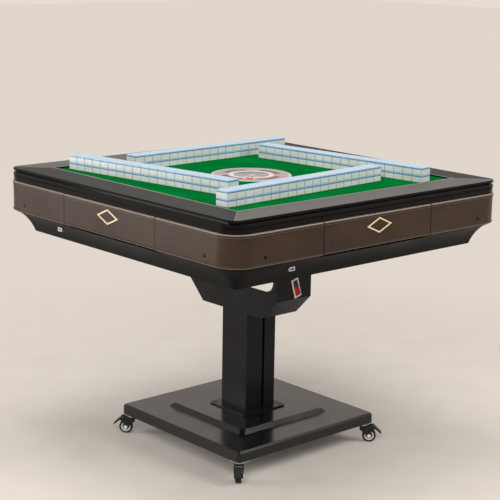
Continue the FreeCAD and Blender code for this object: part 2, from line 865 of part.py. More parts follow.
def make_lift_guides():
    rods = []
    for x in guide_places:
        low = chassis_top_z
        rod = cylinder(guide_diameter / 2, low, guide_top_z, x, -guide_line)
        flange = cylinder(guide_flange_diameter / 2, low, low + guide_flange, x, -guide_line)
        rods.append(joined([rod, flange]))
    return Part.makeCompound([turned(rod, quarter) for quarter in range(4) for rod in rods])


def make_tile_wall(margin, slant):
    """A wall of face-down tiles as the player has pushed it off its lift, one end further than the other."""
    cut = tile_corner
    outline = [(cut, 0), (tile_width - cut, 0), (tile_width, cut), (tile_width, tile_length - cut),
               (tile_width - cut, tile_length), (cut, tile_length), (0, tile_length - cut), (0, cut)]
    tile = face_of(outline, lambda x, y: Vector(x, y, 0)).extrude(Vector(0, 0, tile_thickness))
    tiles = []
    for stack in range(tile_stacks):
        for layer in range(tile_layers):
            copy = tile.copy()
            level = felt_z + layer * tile_thickness
            copy.translate(Vector(stack * tile_pitch, 0, level))
            tiles.append(copy)
    wall = Part.makeCompound(tiles)
    wall.rotate(Vector(0, 0, 0), Vector(0, 0, 1), slant)
    wall.translate(Vector(lift_start, margin - board_half, 0))
    return wall


def revolved(steps):
    return face_of(steps, lambda r, z: Vector(r, 0, z)).revolve(Vector(0, 0, 0), Vector(0, 0, 1), 360)


def make_control_panel():
    outer = panel_diameter / 2
    lens = lens_diameter / 2 + lens_gap
    bore = post_bore_radius
    sleeve = bore + panel_sleeve_wall
    low = disc_z + disc_gap + disc_thickness + disc_hub_height + floor_gap
    steps = [(bore, low), (sleeve, low), (sleeve, panel_bottom_z), (outer, panel_bottom_z),
             (outer, felt_z - panel_chamfer), (outer - panel_chamfer, felt_z), (lens, felt_z),
             (lens, felt_z - lens_depth), (0, felt_z - lens_depth), (0, panel_bottom_z + panel_roof),
             (bore, panel_bottom_z + panel_roof)]
    hole_radius = button_diameter / 2 + button_gap
    hole_low = felt_z + button_rise - button_height - button_travel - button_gap
    return revolved(steps).cut(cylinder(hole_radius, hole_low, felt_z, -button_offset, -button_offset))


def dome_arc(radius, edge_z, top_z):
    """Steps of a dome from its edge to its top, with its ball worked out from its width and rise."""
    rise = top_z - edge_z
    ball = (radius ** 2 + rise ** 2) / (2 * rise)
    middle = math.asin(radius / ball) / 2
    return [(radius, edge_z), (ball * math.sin(middle), top_z - ball * (1 - math.cos(middle)), 0, top_z)]


def make_panel_lens():
    """Clear cap over the dice, with a side wall that stands on the floor of its recess."""
    radius = lens_diameter / 2
    low = felt_z - lens_depth
    outside = revolved([(0, low), (radius, low)] + dome_arc(radius, felt_z, felt_z + lens_rise))
    inner = radius - lens_sheet
    inside = [(0, low), (inner, low)] + dome_arc(inner, felt_z - lens_sheet, felt_z + lens_rise - lens_sheet)
    return outside.cut(revolved(inside))


def make_start_button():
    top = felt_z + button_rise
    button = cylinder(button_diameter / 2, top - button_height, top, -button_offset, -button_offset)
    return chamfered_top(button, button_rise / 2)


def make_drum_motor():
    """Geared motor block with the fixed post that guides the centre panel."""
    block = chamfered_top(centred_box(motor_width, motor_width, chassis_top_z, motor_top_z), motor_chamfer)
    boss = cylinder(boss_diameter / 2, motor_top_z, boss_top_z)
    low = disc_z + disc_gap + disc_thickness + disc_hub_height + floor_gap
    post = cylinder(centre_post_radius, boss_top_z, low + panel_lift + centre_post_engagement)
    return joined([block, boss, post])


def make_shuffle_plate():
    """Turning disc with ribs that tumble the tiles, on a hub that rides on the motor's boss."""
    bore = post_bore_radius
    disc_low = disc_z + disc_gap
    disc_top = disc_low + disc_thickness
    hub_top = disc_top + disc_hub_height
    rim = drum_diameter / 2 - drum_wall - rib_outer_margin
    steps = [(bore, disc_z), (boss_diameter / 2, disc_z), (boss_diameter / 2, disc_low), (rim, disc_low),
             (rim, disc_top), (disc_hub_diameter / 2, disc_top), (disc_hub_top_diameter / 2, hub_top),
             (bore, hub_top)]
    rib = box(rib_inner_radius, rim - rib_outer_margin, -rib_thickness / 2, rib_thickness / 2, disc_top,
              disc_top + rib_height)
    ribs = []
    for number in range(rib_count):
        copy = rib.copy()
        copy.rotate(Vector(0, 0, 0), Vector(0, 0, 1), 360 / rib_count * number)
        ribs.append(copy)
    return joined([revolved(steps)] + ribs)


def make_drum_bowl():
    """Standing bowl round the disc, with a window on each side where tiles are drawn out."""
    outer = drum_diameter / 2
    inner = outer - drum_wall
    low = drum_floor_z
    hole = boss_diameter / 2 + floor_gap
    steps = [(hole, low), (outer, low), (outer, low + drum_depth), (inner, low + drum_depth),
             (inner, low + drum_wall), (hole, low + drum_wall)]
    leg = cylinder(drum_leg_diameter / 2, chassis_top_z, low, -drum_leg_radius * math.sqrt(0.5),
                   -drum_leg_radius * math.sqrt(0.5))
    window_low = disc_z + disc_gap + disc_thickness
    window = box(-drum_window_width / 2, drum_window_width / 2, -outer, -outer / 2, window_low,
                 window_low + drum_window_height)
    return joined([revolved(steps)] + all_round(leg)).cut(all_round(window))


def make_control_box():
    """Closed case beside the back lift, with cooling fins along its lid."""
    y1 = lift_inner - box_margin
    x0 = lift_inner - box_length / 2
    low = chassis_top_z
    top = low + box_height
    case = chamfered_top(box(x0, x0 + box_length, y1 - box_depth, y1, low, top), box_fin)
    pitch = (box_length - 4 * box_fin) / box_fin_count
    fins = [box(x0 + 2 * box_fin + n * pitch, x0 + 3 * box_fin + n * pitch, y1 - box_depth + 2 * box_fin,
                y1 - 2 * box_fin, top, top + box_fin) for n in range(box_fin_count)]
    return joined([case] + fins)


# One caster in its own frame: swivel axis at the origin, trailing along +X

def caster_placed(shape):
    shape.rotate(Vector(0, 0, 0), Vector(0, 0, 1), -135)
    shape.translate(Vector(-swivel_place, -swivel_place, 0))
    return shape


def across(radius, reach, x, z):
    return Part.makeCylinder(radius, 2 * reach, Vector(x, -reach, z), Vector(0, 1, 0))


cap_z = caster_height - cap_plate_thickness - cap_height
fork_top_z = cap_z - swivel_gap
axle_z = wheel_diameter / 2
cheek_inner = wheel_width / 2 + fork_gap
cheek_outer = cheek_inner + fork_sheet
pivot_z = caster_height - pedal_pivot_drop


def make_caster_plate():
    size = cap_plate_width / 2
    plate = box(-size, size, -size, size, caster_height - cap_plate_thickness, caster_height)
    cap = cylinder(cap_diameter / 2, cap_z, caster_height - cap_plate_thickness)
    hole = cylinder(stem_diameter / 2 + axle_clearance, cap_z, caster_height)
    plate = joined([plate, cap]).cut(hole)
    plate.translate(Vector(-swivel_place, -swivel_place, 0))
    return plate


def make_caster_fork():
    foot = fork_foot_radius
    nose = pedal_pivot_out + pedal_boss_diameter / 2
    band_z = pivot_z - pedal_boss_diameter / 2
    steps = [(-fork_nose, fork_top_z), (nose, fork_top_z), (nose, band_z), (caster_trail + foot, band_z),
             (caster_trail + foot, axle_z), (caster_trail, axle_z - foot, caster_trail - foot, axle_z),
             (-fork_nose, band_z)]
    cheeks = [face_of(steps, lambda x, z, y=y: Vector(x, y, z)).extrude(Vector(0, fork_sheet, 0))
              for y in (cheek_inner, -cheek_outer)]
    bridge = box(-fork_nose, pedal_pivot_out - pedal_boss_diameter, -cheek_outer, cheek_outer,
                 fork_top_z - fork_sheet, fork_top_z)
    stem = cylinder(stem_diameter / 2, fork_top_z, fork_top_z + stem_length)
    axle = across(axle_diameter / 2, cheek_outer, caster_trail, axle_z)
    head = Part.makeCylinder(axle_head_diameter / 2, axle_head, Vector(caster_trail, cheek_outer, axle_z),
                             Vector(0, 1, 0))
    heads = [head, head.mirror(Vector(0, 0, 0), Vector(0, 1, 0))]
    pin_hole = across(pedal_pin_diameter / 2 + axle_clearance, cheek_outer, pedal_pivot_out, pivot_z)
    return caster_placed(joined(cheeks + [bridge, stem, axle] + heads).cut(pin_hole))


def make_caster_wheel():
    radius = wheel_diameter / 2
    tread = wheel_width / 2
    bore = axle_diameter / 2 + axle_clearance
    side = [(wheel_hub_width / 2, bore), (wheel_hub_width / 2, wheel_hub_diameter / 2),
            (wheel_web_width / 2, wheel_hub_diameter / 2), (wheel_web_width / 2, wheel_rim_diameter / 2),
            (tread, wheel_rim_diameter / 2), (tread, radius - wheel_edge), (tread - wheel_edge, radius)]
    steps = side + [(-width, r) for width, r in reversed(side)]
    section = face_of(steps, lambda y, r: Vector(caster_trail, y, axle_z + r))
    return caster_placed(section.revolve(Vector(caster_trail, 0, axle_z), Vector(0, 1, 0), 360))


def make_caster_pedal():
    """Brake lever on a pin between the fork cheeks, sloping down away from the wheel."""
    out = pedal_pivot_out
    boss = pedal_boss_diameter / 2
    reach = cheek_inner - pedal_side_gap
    tip = (out + pedal_reach, pivot_z - pedal_drop)
    slant = math.hypot(pedal_reach, pedal_drop + boss)
    steps = [(out, pivot_z + boss), (out + boss, pivot_z + boss), (tip[0], tip[1] + boss),
             (tip[0], tip[1] + boss - pedal_sheet * slant / pedal_reach), (out + boss, pivot_z - boss / 2),
             (out, pivot_z - boss / 2)]
    arm = face_of(steps, lambda x, z: Vector(x, -reach, z)).extrude(Vector(0, 2 * reach, 0))
    pin = across(pedal_pin_diameter / 2, cheek_outer, out, pivot_z)
    return caster_placed(joined([arm, across(boss, reach, out, pivot_z), pin]))


def save(name, shape):
    shape.exportStep("parts/" + name + ".step")


os.makedirs("parts", exist_ok=True)

save("caster_plates", Part.makeCompound(all_round(make_caster_plate())))
for piece, make in (("fork", make_caster_fork), ("wheel", make_caster_wheel), ("pedal", make_caster_pedal)):
    for corner, solid in zip(CORNERS, all_round(make())):
        save("caster_" + piece + "_" + corner, solid)

save("base_plate", make_base_plate())
save("base_cover", make_base_cover())
save("column_post", make_column_post())
save("column_covers", make_column_covers())
save("yoke", make_yoke())
save("frame_bolts", make_frame_bolts())
save("switch_bezel", make_switch_bezel())
save("switch_rocker", make_switch_rocker())
save("mains_inlet", make_mains_inlet())
save("lower_shell", make_lower_shell())
save("charging_ports", make_charging_ports())
save("chassis", make_chassis())
save("skirt_screws", make_skirt_screws())
for corner, solid in zip(CORNERS, all_round(make_skirt_corner())):
    save("skirt_corner_" + corner, solid)

for piece, make in (("drawer_front", make_drawer_front), ("drawer_tray", make_drawer_tray),
                    ("lift_platform", make_lift_platform)):
    for side, solid in zip(SIDES, all_round(make())):
        save(piece + "_" + side, solid)
for side, rail in zip(SIDES, make_frame()):
    save("frame_rail_" + side, rail)
for quarter in range(4):
    wall = turned(make_tile_wall(wall_margins[quarter], wall_slants[quarter]), quarter)
    save("tile_wall_" + SIDES[quarter], wall)

save("playing_board", board_layer(ledge_z, board_top_z))
save("felt_cloth", board_layer(board_top_z, felt_z))
save("lift_guides", make_lift_guides())
save("control_panel", make_control_panel())
save("panel_lens", make_panel_lens())
save("start_button", make_start_button())
save("drum_motor", make_drum_motor())
save("shuffle_plate", make_shuffle_plate())
save("drum_bowl", make_drum_bowl())
save("control_box", make_control_box())
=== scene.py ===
import bpy
import math
from mathutils import Euler, Matrix, Vector


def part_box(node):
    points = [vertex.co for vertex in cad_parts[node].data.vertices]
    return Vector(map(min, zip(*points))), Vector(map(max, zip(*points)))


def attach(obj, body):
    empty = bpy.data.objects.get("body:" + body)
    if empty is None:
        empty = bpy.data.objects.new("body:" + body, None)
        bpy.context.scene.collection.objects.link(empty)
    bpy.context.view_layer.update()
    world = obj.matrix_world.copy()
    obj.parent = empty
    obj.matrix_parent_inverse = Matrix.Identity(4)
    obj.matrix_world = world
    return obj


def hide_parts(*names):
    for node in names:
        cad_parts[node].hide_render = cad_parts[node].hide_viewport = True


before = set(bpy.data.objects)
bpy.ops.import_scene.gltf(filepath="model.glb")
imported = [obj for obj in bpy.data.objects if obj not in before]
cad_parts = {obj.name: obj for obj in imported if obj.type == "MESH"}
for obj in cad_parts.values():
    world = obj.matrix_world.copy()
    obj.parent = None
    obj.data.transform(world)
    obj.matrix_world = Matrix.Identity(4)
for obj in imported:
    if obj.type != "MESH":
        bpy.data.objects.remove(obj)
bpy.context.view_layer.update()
bpy.ops.object.select_all(action="DESELECT")

# Casters: a zinc plated swivel plate over a black pressed fork with a bright axle. The wheel is black,
# with a pale ring moulded into each side, and the brake pedal is black nylon on a pin.
corners = ("front_left", "front_right", "back_right", "back_left")
first_caster_heading = -135
wheel_ring = (0.0098, 0.0134)
axle_end = (-0.001, 0.0052)
cloud_share = 0.6
mottle_range = (0.36, 0.64)
gloss_wander = 0.07
relief_strength = 0.6


def tone(red, green, blue):
    """A screen colour, 0 to 255 each, as the shader takes it."""
    parts = [value / 255 for value in (red, green, blue)]
    return [((v + 0.055) / 1.055) ** 2.4 if v > 0.04045 else v / 12.92 for v in parts] + [1.0]


def feed(tree, value, socket):
    """Link another node's output to the socket, or set the socket where the value is a plain one."""
    if isinstance(value, bpy.types.NodeSocket):
        tree.links.new(value, socket)
    else:
        socket.default_value = value


def sums(tree, operation, *values):
    """What a math node makes of the values."""
    node = tree.nodes.new("ShaderNodeMath")
    node.operation = operation
    for value, socket in zip(values, node.inputs):
        feed(tree, value, socket)
    return node.outputs[0]


def stretch(tree, value, low, high, start=0.0, end=1.0):
    """The value on its way from low to high, made to run from start to end and held there beyond."""
    node = tree.nodes.new("ShaderNodeMapRange")
    feed(tree, value, node.inputs["Value"])
    node.inputs["From Min"].default_value = low
    node.inputs["From Max"].default_value = high
    node.inputs["To Min"].default_value = start
    node.inputs["To Max"].default_value = end
    return node.outputs["Result"]


def lay(tree, share, under, over):
    """One colour laid over another, as far as the share says."""
    node = tree.nodes.new("ShaderNodeMix")
    node.data_type = "RGBA"
    feed(tree, share, node.inputs[0])
    feed(tree, under, node.inputs[6])
    feed(tree, over, node.inputs[7])
    return node.outputs[2]


def reach(tree, place, across):
    """How far a place is from the axis whose part in across is nought."""
    flat = tree.nodes.new("ShaderNodeVectorMath")
    flat.operation = "MULTIPLY"
    flat.inputs[1].default_value = across
    length = tree.nodes.new("ShaderNodeVectorMath")
    length.operation = "LENGTH"
    tree.links.new(place, flat.inputs[0])
    tree.links.new(flat.outputs["Vector"], length.inputs[0])
    return length.outputs["Value"]


mottle = bpy.data.node_groups.new("fine_mottle", "ShaderNodeTree")
mottle.interface.new_socket("Scale", in_out="INPUT", socket_type="NodeSocketFloat")
mottle.interface.new_socket("Shade", in_out="OUTPUT", socket_type="NodeSocketFloat")
mottle.interface.new_socket("Height", in_out="OUTPUT", socket_type="NodeSocketFloat")
mottle_in = mottle.nodes.new("NodeGroupInput")
mottle_out = mottle.nodes.new("NodeGroupOutput")
mottle_place = mottle.nodes.new("ShaderNodeTexCoord")
mottle_cloud = mottle.nodes.new("ShaderNodeTexNoise")
mottle_cloud.inputs["Detail"].default_value = 5
mottle_cloud.inputs["Scale"].default_value = 9
mottle_fine = mottle.nodes.new("ShaderNodeTexNoise")
mottle_fine.inputs["Detail"].default_value = 3
mottle.links.new(mottle_place.outputs["Object"], mottle_cloud.inputs["Vector"])
mottle.links.new(mottle_place.outputs["Object"], mottle_fine.inputs["Vector"])
mottle.links.new(mottle_in.outputs["Scale"], mottle_fine.inputs["Scale"])
mottle_soft = sums(mottle, "MULTIPLY", mottle_cloud.outputs["Fac"], cloud_share)
mottle_both = sums(mottle, "MULTIPLY_ADD", mottle_fine.outputs["Fac"], 1 - cloud_share, mottle_soft)
mottle.links.new(mottle_both, mottle_out.inputs["Shade"])
mottle.links.new(mottle_fine.outputs["Fac"], mottle_out.inputs["Height"])


def finish(name, dark, light, scale, rough, bump, metallic=0.0, specular=0.5):
    """A finish whose colour, gloss and fine relief wander with the mottle; scale is grains per metre."""
    material = bpy.data.materials.new(name)
    material.use_nodes = True
    tree = material.node_tree
    shader = tree.nodes["Principled BSDF"]
    shader.inputs["Metallic"].default_value = metallic
    shader.inputs["Specular IOR Level"].default_value = specular
    grain = tree.nodes.new("ShaderNodeGroup")
    grain.node_tree = mottle
    grain.inputs["Scale"].default_value = scale
    wander = stretch(tree, grain.outputs["Shade"], *mottle_range)
    gloss = stretch(tree, wander, 0.0, 1.0, rough - gloss_wander, rough + gloss_wander)
    relief = tree.nodes.new("ShaderNodeBump")
    relief.name = "relief"
    relief.inputs["Strength"].default_value = relief_strength
    relief.inputs["Distance"].default_value = bump
    tree.links.new(lay(tree, wander, dark, light), shader.inputs["Base Color"])
    tree.links.new(gloss, shader.inputs["Roughness"])
    tree.links.new(grain.outputs["Height"], relief.inputs["Height"])
    tree.links.new(relief.outputs["Normal"], shader.inputs["Normal"])
    return material


def recolour(material, share, over):
    """Lay one more colour over what the finish shows so far, as far as the share says."""
    tree = material.node_tree
    base = tree.nodes["Principled BSDF"].inputs["Base Color"]
    tree.links.new(lay(tree, share, base.links[0].from_socket, over), base)


def dress(material, *names):
    """Give the CAD nodes of these names the material."""
    for name in names:
        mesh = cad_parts[name].data
        mesh.materials.clear()
        mesh.materials.append(material)


nylon_dark = tone(14, 14, 15)
nylon_light = tone(27, 27, 28)
zinc = finish("zinc_plate", tone(150, 152, 156), tone(205, 206, 208), 700, 0.30, 0.00006, metallic=0.9)
nylon = finish("black_nylon", nylon_dark, nylon_light, 1400, 0.5, 0.0001, specular=0.3)
dress(zinc, "caster_plates")

rings = bpy.data.node_groups.new("wheel_rings", "ShaderNodeTree")
rings.interface.new_socket("Vector", in_out="INPUT", socket_type="NodeSocketVector")
rings_in = rings.nodes.new("NodeGroupInput")
rings_out = rings.nodes.new("NodeGroupOutput")
rings_far = reach(rings, rings_in.outputs["Vector"], (1, 0, 1))
for name, (inner, outer) in (("Ring", wheel_ring), ("Axle", axle_end)):
    rings.interface.new_socket(name, in_out="OUTPUT", socket_type="NodeSocketFloat")
    within = sums(rings, "LESS_THAN", rings_far, outer)
    beyond = sums(rings, "GREATER_THAN", rings_far, inner)
    rings.links.new(sums(rings, "MULTIPLY", within, beyond), rings_out.inputs[name])

for turn, corner in enumerate(corners):
    low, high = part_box("caster_wheel_" + corner)
    for node, mask in (("caster_wheel_", "Ring"), ("caster_fork_", "Axle")):
        black = finish(node + "black_" + corner, nylon_dark, nylon_light, 900, 0.5, 0.0001, specular=0.3)
        tree = black.node_tree
        place = tree.nodes.new("ShaderNodeTexCoord")
        axle = tree.nodes.new("ShaderNodeMapping")
        axle.vector_type = "TEXTURE"
        axle.inputs["Location"].default_value = (Vector(low) + Vector(high)) / 2
        axle.inputs["Rotation"].default_value = (0, 0, math.radians(90 * turn + first_caster_heading))
        around = tree.nodes.new("ShaderNodeGroup")
        around.node_tree = rings
        tree.links.new(place.outputs["Object"], axle.inputs["Vector"])
        tree.links.new(axle.outputs["Vector"], around.inputs["Vector"])
        recolour(black, around.outputs[mask], tone(232, 232, 230))
        dress(black, node + corner)
    dress(nylon, "caster_pedal_" + corner)

# Base: a pressed steel cover with a raised middle, drawn over a flat plate and clamped by the foot
# plate's bolts. All of it is powder coated black, with a slight orange peel.
base_coat = finish("base_powder_coat", tone(6, 6, 6), tone(12, 12, 12), 620, 0.21, 0.00006, specular=0.42)
dress(base_coat, "base_cover", "base_plate")

# Column: a square steel post on the foot plate, hidden by two folded covers that leave a groove down
# the front and the back. Coated black like the base but less glossy; the bolts are black oxide.
stand_coat = finish("column_powder_coat", tone(16, 16, 16), tone(25, 25, 25), 620, 0.28, 0.00006,
                    specular=0.14)
black_oxide = finish("black_oxide", tone(6, 6, 6), tone(14, 14, 14), 900, 0.4, 0.00005, specular=0.1)
dress(stand_coat, "column_post", "column_covers")
dress(black_oxide, "frame_bolts")

# Yoke: folded sheet box with two uprights that carry the tub, welded to the top of the post and
# coated with the stand.
dress(stand_coat, "yoke")

# Power switch: a white frame snapped into a slanted hole in the front upright, holding a red rocker
# with a dark upper end on two pins. Both are moulded, glossy.
rocker_tilt = math.radians(16)
rocker_dark_from = 0.4480
rocker_blur = 0.0004
switch_white = finish("switch_white", tone(228, 227, 223), tone(240, 239, 236), 300, 0.30, 0.00003)
rocker_red = finish("rocker_red", tone(190, 10, 10), tone(214, 20, 16), 300, 0.25, 0.00003, specular=0.3)
tree = rocker_red.node_tree
place = tree.nodes.new("ShaderNodeTexCoord")
slant = tree.nodes.new("ShaderNodeVectorMath")
slant.operation = "DOT_PRODUCT"
slant.inputs[1].default_value = (-math.sin(rocker_tilt), 0, math.cos(rocker_tilt))
tree.links.new(place.outputs["Object"], slant.inputs[0])
upper = stretch(tree, slant.outputs["Value"], rocker_dark_from, rocker_dark_from + rocker_blur)
recolour(rocker_red, upper, tone(36, 30, 30))
dress(switch_white, "switch_bezel")
dress(rocker_red, "switch_rocker")

# Mains inlet: a black moulded socket with three blades, of the usual appliance kind. It is snapped into
# the back upright of the yoke.
socket_black = finish("socket_black", tone(20, 20, 21), tone(34, 34, 35), 1100, 0.45, 0.00008)
dress(socket_black, "mains_inlet")

# Lower shell: a deep coved tub moulded in black satin plastic, with finger slots under the drawers. It
# is bolted to the yoke through the chassis.
shell_satin = finish("shell_satin", tone(12, 12, 12), tone(21, 21, 20), 240, 0.42, 0.00003, specular=0.06)
dress(shell_satin, "lower_shell")

# Charging sockets: small silvered housings pushed through the tub, one on each side, each lined with a
# bright steel shield round a white contact tongue.
sides = ("front", "right", "back", "left")
port_low, port_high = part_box("charging_ports")
port_along = -0.262
port_level = (port_low[2] + port_high[2]) / 2
shield_size = (0.0129, 0.0136, 0.0053)
shield_proud = 0.0003
shield_wall = 0.0004
shield_depth = 0.0125
shield_place = (port_along, port_low[1] - shield_proud + shield_size[1] / 2, port_level)
tongue_size = (0.0105, 0.0095, 0.0017)
tongue_recess = 0.00275
tongue_rise = 0.0008
tongue_round = 0.0003
tongue_place = (port_along, port_low[1] + tongue_recess + tongue_size[1] / 2, port_level + tongue_rise)
port_silver = finish("port_silver", tone(176, 177, 178), tone(212, 213, 213), 500, 0.32, 0.00003,
                     metallic=0.5)
shield_steel = finish("shield_steel", tone(186, 188, 190), tone(220, 221, 222), 900, 0.25, 0.00003,
                      metallic=0.9)
tongue_white = finish("tongue_white", tone(214, 214, 210), tone(228, 228, 224), 300, 0.4, 0.00003)
dress(port_silver, "charging_ports")


def edit_whole():
    """Fix the new piece where it stands, and edit it with all its faces picked."""
    bpy.ops.object.transform_apply(location=True, rotation=True, scale=True)
    bpy.ops.object.mode_set(mode="EDIT")
    bpy.ops.mesh.select_mode(type="FACE")
    bpy.ops.mesh.select_all(action="SELECT")
    return bpy.context.object


def edit_block(size, place):
    """A new block of this size about the place, in edit mode with all its faces picked."""
    bpy.ops.mesh.primitive_cube_add(size=1, location=place)
    block = edit_whole()
    bpy.ops.transform.resize(value=size, center_override=place)
    return block


def pick_faces(piece, facing, squareness=0.9):
    """Go on editing with only the faces picked that look this way."""
    bpy.ops.mesh.select_all(action="DESELECT")
    bpy.ops.object.mode_set(mode="OBJECT")
    for face in piece.data.polygons:
        face.select = face.normal.dot(Vector(facing)) > squareness
    bpy.ops.object.mode_set(mode="EDIT")


def turned_copies(piece, name):
    """The front piece and its three copies, each turned about the table's axis, with a mesh of its own."""
    copies = []
    for turn, side in enumerate(sides):
        copy = piece if turn == 0 else piece.copy()
        if turn:
            copy.data = piece.data.copy()
            bpy.context.scene.collection.objects.link(copy)
            copy.data.transform(Matrix.Rotation(math.radians(90 * turn), 4, "Z"))
        copy.name = name + "_" + side
        copies.append(copy)
    return copies


shield = edit_block(shield_size, shield_place)
pick_faces(shield, (0, -1, 0))
bpy.ops.mesh.inset(thickness=shield_wall)
bpy.ops.mesh.extrude_region_move(TRANSFORM_OT_translate={"value": (0, shield_depth, 0)})
bpy.ops.object.mode_set(mode="OBJECT")
shield.data.materials.append(shield_steel)
for copy in turned_copies(shield, "socket_shield"):
    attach(copy, "table")
bpy.ops.object.select_all(action="DESELECT")
tongue = edit_block(tongue_size, tongue_place)
bpy.ops.mesh.bevel(offset=tongue_round, segments=2, affect="EDGES")
bpy.ops.object.mode_set(mode="OBJECT")
tongue.data.materials.append(tongue_white)
for copy in turned_copies(tongue, "socket_tongue"):
    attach(copy, "table")
bpy.ops.object.select_all(action="DESELECT")

# Chassis: galvanised plate inside the tub with posts, brackets and drawer runners welded to it. It
# carries the drum, the lift rods and the control box.
galvanised = finish("galvanised_sheet", tone(140, 143, 146), tone(178, 180, 182), 160, 0.42, 0.00005,
                    metallic=0.8)
motor_paint = finish("motor_paint", tone(58, 60, 64), tone(74, 76, 80), 500, 0.5, 0.00015)
bowl_plastic = finish("bowl_plastic", tone(196, 195, 190), tone(212, 211, 206), 400, 0.4, 0.00006)
dress(galvanised, "chassis", "control_box")
dress(zinc, "lift_guides")
dress(motor_paint, "drum_motor")
dress(bowl_plastic, "drum_bowl", "shuffle_plate")

# Skirt: corner panels wrapped in brown leather-look vinyl with a rounded bead along the top, held by
# two black screws each. Pale bands along the bead and the foot are painted highlights, and the vinyl is
# darkened with painted shade where it turns in at a seam.
skirt_low, skirt_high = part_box("skirt_corner_front_left")
seam_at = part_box("drawer_front_front")[1][0]
seam_shade_half = 0.0022
pores_per_metre = 520
hide = bpy.data.node_groups.new("hide_grain", "ShaderNodeTree")
hide.interface.new_socket("Scale", in_out="INPUT", socket_type="NodeSocketFloat")
hide.interface.new_socket("Height", in_out="OUTPUT", socket_type="NodeSocketFloat")
hide_in = hide.nodes.new("NodeGroupInput")
hide_out = hide.nodes.new("NodeGroupOutput")
hide_place = hide.nodes.new("ShaderNodeTexCoord")
hide_cells = hide.nodes.new("ShaderNodeTexVoronoi")
hide_cells.feature = "SMOOTH_F1"
hide_cells.inputs["Smoothness"].default_value = 0.5
hide.links.new(hide_place.outputs["Object"], hide_cells.inputs["Vector"])
hide.links.new(hide_in.outputs["Scale"], hide_cells.inputs["Scale"])
hide.links.new(hide_cells.outputs["Distance"], hide_out.inputs["Height"])


def level(tree):
    """Height above the floor."""
    place = tree.nodes.new("ShaderNodeTexCoord")
    split = tree.nodes.new("ShaderNodeSeparateXYZ")
    tree.links.new(place.outputs["Object"], split.inputs["Vector"])
    return split.outputs["Z"]


def bands(tree, value, stops):
    """The colour along the value, from stops that each give a place and a colour or a shade of grey."""
    node = tree.nodes.new("ShaderNodeValToRGB")
    feed(tree, value, node.inputs["Fac"])
    elements = node.color_ramp.elements
    elements[0].position = stops[0][0]
    elements[1].position = stops[-1][0]
    for stop in stops[1:-1]:
        elements.new(stop[0])
    for element, (spot, shade) in zip(elements, stops):
        element.color = shade if isinstance(shade, list) else (shade, shade, shade, 1)
    return node.outputs["Color"]


vinyl = finish("brown_vinyl", tone(46, 33, 24), tone(62, 46, 34), 220, 0.36, 0.0002, specular=0.2)
tree = vinyl.node_tree
pores = tree.nodes.new("ShaderNodeGroup")
pores.node_tree = hide
pores.inputs["Scale"].default_value = pores_per_metre
tree.links.new(pores.outputs["Height"], tree.nodes["relief"].inputs["Height"])
rise = stretch(tree, level(tree), skirt_low[2], skirt_high[2])
# Painted highlights: pale bands along the foot and the top bead, where the rounded vinyl catches the light.
painted_bead_highlights = bands(tree, rise, ((0.0, 0.8), (0.035, 0.0), (0.885, 0.0), (0.897, 0.6), (0.915, 0.0),
                           (0.965, 0.0), (0.985, 0.9), (1.0, 0.9)))
recolour(vinyl, painted_bead_highlights, tone(150, 132, 120))
place = tree.nodes.new("ShaderNodeTexCoord")
away = tree.nodes.new("ShaderNodeVectorMath")
away.operation = "ABSOLUTE"
split = tree.nodes.new("ShaderNodeSeparateXYZ")
tree.links.new(place.outputs["Object"], away.inputs[0])
tree.links.new(away.outputs["Vector"], split.inputs["Vector"])
along = sums(tree, "MINIMUM", split.outputs["X"], split.outputs["Y"])
# Painted shade: the vinyl is darkened within a narrow band each side of a seam, where the rounded ends turn
# in.
recolour(vinyl, sums(tree, "COMPARE", along, seam_at, seam_shade_half), tone(26, 19, 14))
dress(vinyl, *["skirt_corner_" + corner for corner in corners])
dress(black_oxide, "skirt_screws")

# Drawers: the front is wrapped like the skirt, with a gilt lozenge-shaped frame pinned to its middle. The
# tray behind it is a black moulding that slides on the chassis.
lozenge_place = (0, -0.4784, 0.690)
lozenge_half_width = 0.044
lozenge_flatness = 0.45
lozenge_band = 0.0034
lozenge_thickness = 0.0012
tray_black = finish("tray_black", tone(30, 29, 29), tone(44, 43, 42), 900, 0.55, 0.0001)
gilt = finish("gilt", tone(240, 208, 156), tone(253, 234, 200), 260, 0.25, 0.00004, metallic=0.3)
for side in sides:
    dress(vinyl, "drawer_front_" + side)
    dress(tray_black, "drawer_tray_" + side)


def leave_band(width, rise):
    """Cut the middle out of the flat face being edited, and give the band that is left its thickness."""
    bpy.ops.mesh.inset(thickness=width)
    bpy.ops.mesh.delete(type="FACE")
    bpy.ops.mesh.select_all(action="SELECT")
    bpy.ops.mesh.extrude_region_move(TRANSFORM_OT_translate={"value": rise})
    bpy.ops.mesh.select_all(action="SELECT")
    bpy.ops.mesh.normals_make_consistent(inside=False)
    bpy.ops.object.mode_set(mode="OBJECT")


bpy.ops.mesh.primitive_circle_add(vertices=4, radius=lozenge_half_width, fill_type="NGON",
                                  location=lozenge_place, rotation=(math.radians(90), 0, 0))
lozenge = edit_whole()
bpy.ops.transform.resize(value=(1, 1, lozenge_flatness), center_override=lozenge_place)
leave_band(lozenge_band, (0, -lozenge_thickness, 0))
lozenge.data.materials.append(gilt)
for side, copy in zip(sides, turned_copies(lozenge, "drawer_lozenge")):
    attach(copy, "drawer_" + side)
bpy.ops.object.select_all(action="DESELECT")

